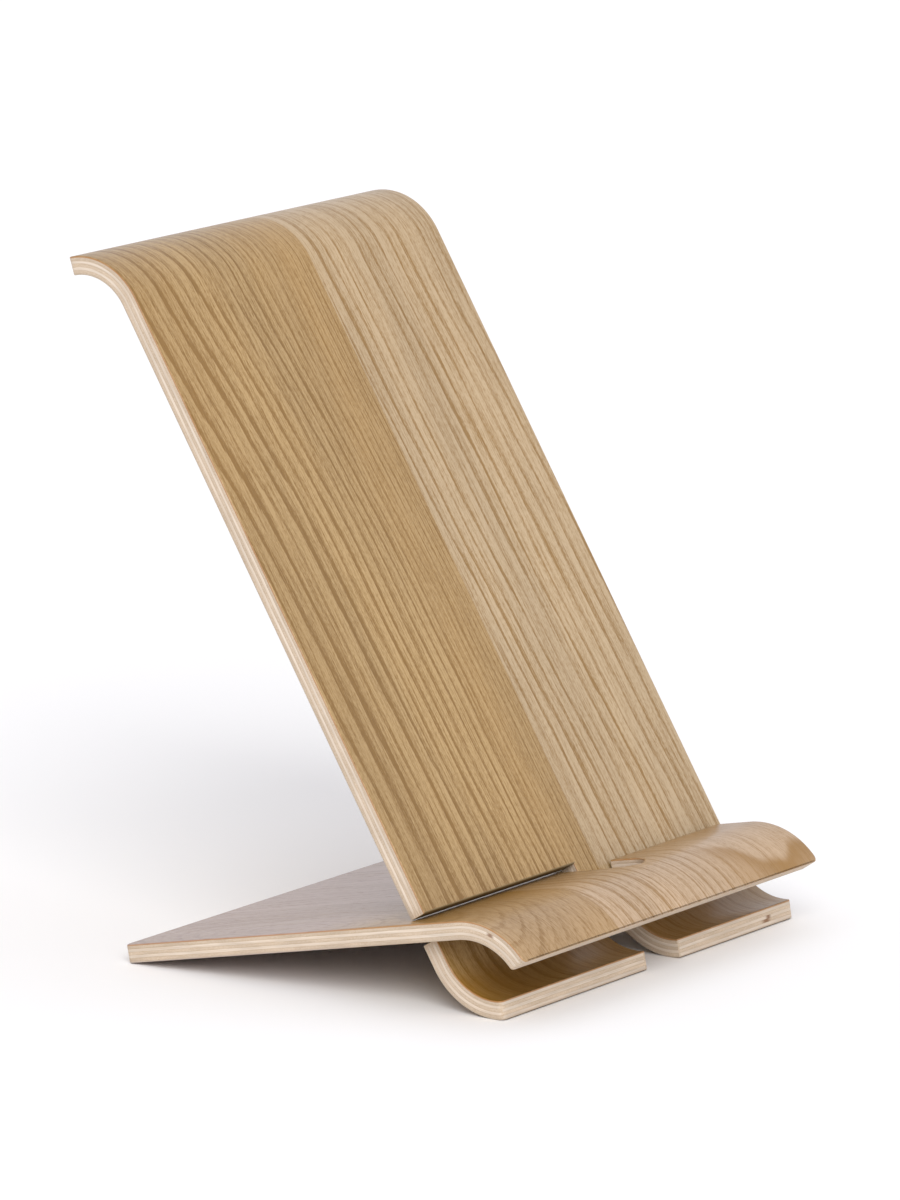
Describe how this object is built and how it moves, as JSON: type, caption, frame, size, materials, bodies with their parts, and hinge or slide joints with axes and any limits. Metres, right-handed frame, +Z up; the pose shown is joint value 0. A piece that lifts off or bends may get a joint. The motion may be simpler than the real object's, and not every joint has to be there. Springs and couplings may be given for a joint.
{
  "type": "phone stand",
  "caption": "Crossed moulded-plywood panels that slot together sideways: a raked back with a rolled top and foot, and a shelf that curls into a lip.",
  "frame": {"origin": "on the table, at the middle of the stand's width and depth", "axes": "+Z up; -Y towards the person, the way the phone's screen faces; +X to the right as seen from the front, along the slots"},
  "size_m": [0.1028, 0.1112, 0.1396],
  "materials": {
    "ash_face_veneer": "satin lacquered ash veneer",
    "ash_reverse_veneer": "satin lacquered ash veneer",
    "birch_cross_grain_ply": "sanded and sealed birch, grain across the panel",
    "birch_long_grain_ply": "sanded and sealed birch, grain along the panel"
  },
  "bodies": {
    "back_panel": {"back_panel_face_veneer": "ash_face_veneer", "back_panel_front_crossband": "birch_cross_grain_ply", "back_panel_front_core_ply": "birch_long_grain_ply", "back_panel_centre_ply": "birch_cross_grain_ply", "back_panel_rear_core_ply": "birch_long_grain_ply", "back_panel_rear_crossband": "birch_cross_grain_ply", "back_panel_rear_veneer": "ash_reverse_veneer"},
    "base_panel": {"base_panel_top_veneer": "ash_face_veneer", "base_panel_top_crossband": "birch_cross_grain_ply", "base_panel_upper_core_ply": "birch_long_grain_ply", "base_panel_centre_ply": "birch_cross_grain_ply", "base_panel_lower_core_ply": "birch_long_grain_ply", "base_panel_under_crossband": "birch_cross_grain_ply", "base_panel_under_veneer": "ash_reverse_veneer"}
  },
  "joints": [
    {"name": "base_slide", "type": "slide", "parent": "back_panel", "child": "base_panel", "axis": [-1, 0, 0], "range_m": [-0.0017, 0.05]}
  ]
}
